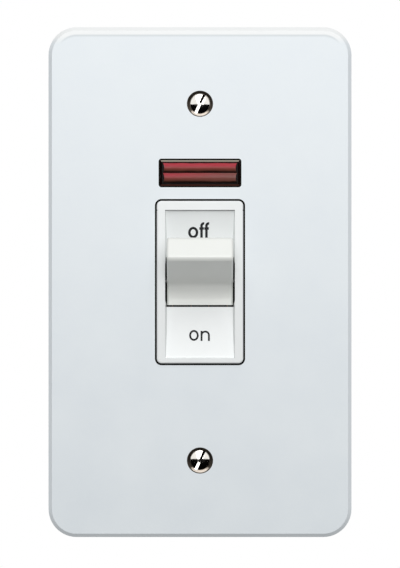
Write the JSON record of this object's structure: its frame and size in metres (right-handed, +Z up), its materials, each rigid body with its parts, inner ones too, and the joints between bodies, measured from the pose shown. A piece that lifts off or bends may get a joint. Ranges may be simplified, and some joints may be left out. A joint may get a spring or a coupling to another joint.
{
  "type": "high-current switch",
  "caption": "Wall-mounted double-pole high-current switch: large white enamelled steel plate, wide rocking lever between off and on panels, red indicator lens, rear terminals.",
  "frame": {"origin": "middle of the two fixing screws, on the wall plane behind the plate", "axes": "+X right, +Z up, the front of the switch faces -Y and the screws go into the wall along +Y"},
  "size_m": [0.1024, 0.0561, 0.1724],
  "materials": {
    "white_enamel": "gloss stove enamel on pressed steel",
    "black_fibre": "black vulcanised fibre sheet",
    "white_moulding": "glossy moulded urea",
    "base_moulding": "black phenolic moulding, satin",
    "cover_moulding": "brown paper laminate, varnished",
    "plunger_moulding": "natural nylon",
    "nickel_plate": "bright nickel plate",
    "zinc_steel": "zinc plated steel",
    "spring_steel": "drawn wire",
    "tinned_wire": "tinned copper wire",
    "brass": "milled brass",
    "brass_screw": "turned brass",
    "copper": "pressed copper",
    "silver": "silver contact metal",
    "red_lens": "transparent red moulding",
    "lamp_glass": "clear glass",
    "resistor_body": "lacquered resistor"
  },
  "bodies": {
    "housing": {"front_plate": "white_enamel", "fixing_screws": "nickel_plate", "bezel": "white_moulding", "gasket": "black_fibre", "base": "base_moulding", "rear_cover": "cover_moulding", "cover_screws": "zinc_steel", "mounting_pillars": "zinc_steel", "base_screws": "zinc_steel", "terminal_screws": "brass_screw", "neon_lens": "red_lens", "neon_holder": "base_moulding", "neon_lamp": "lamp_glass", "neon_electrodes": "nickel_plate", "neon_resistor": "resistor_body", "neon_lead_live": "tinned_wire", "neon_lead_neutral": "tinned_wire", "earth_terminal": "brass", "earth_screw": "brass_screw", "fixed_contact_left": "silver", "load_terminal_left": "brass", "supply_terminal_left": "brass", "fixed_contact_right": "silver", "load_terminal_right": "brass", "supply_terminal_right": "brass"},
    "dolly": {"dolly": "white_moulding", "plunger_spring_left": "spring_steel", "plunger_spring_right": "spring_steel"},
    "plunger_left": {"plunger_left": "plunger_moulding"},
    "arm_left": {"contact_arm_left": "copper", "moving_contact_left": "silver"},
    "plunger_right": {"plunger_right": "plunger_moulding"},
    "arm_right": {"contact_arm_right": "copper", "moving_contact_right": "silver"}
  },
  "joints": [
    {"name": "dolly_rock", "type": "hinge", "parent": "housing", "child": "dolly", "pos_m": [0, 0.0009, 0], "axis": [1, 0, 0], "range_deg": [0, 60]},
    {"name": "arm_left_rock", "type": "hinge", "parent": "housing", "child": "arm_left", "pos_m": [-0.0062, 0.0149, 0], "axis": [1, 0, 0], "range_deg": [-13.95, 0]},
    {"name": "arm_right_rock", "type": "hinge", "parent": "housing", "child": "arm_right", "pos_m": [0.0062, 0.0149, 0], "axis": [1, 0, 0], "range_deg": [-13.95, 0]},
    {"name": "plunger_left_slide", "type": "slide", "parent": "dolly", "child": "plunger_left", "axis": [0, -0.866, 0.5], "range_m": [0, 0.0008], "stiffness_N_per_m": 400, "springref_m": -0.003, "deforming": ["plunger_spring_left"]},
    {"name": "plunger_right_slide", "type": "slide", "parent": "dolly", "child": "plunger_right", "axis": [0, -0.866, 0.5], "range_m": [0, 0.0008], "stiffness_N_per_m": 400, "springref_m": -0.003, "deforming": ["plunger_spring_right"]}
  ],
  "couplings": [
    {"joint": "arm_left_rock", "follows": "dolly_rock", "ratio": -0.2324},
    {"joint": "arm_right_rock", "follows": "dolly_rock", "ratio": -0.2324}
  ]
}
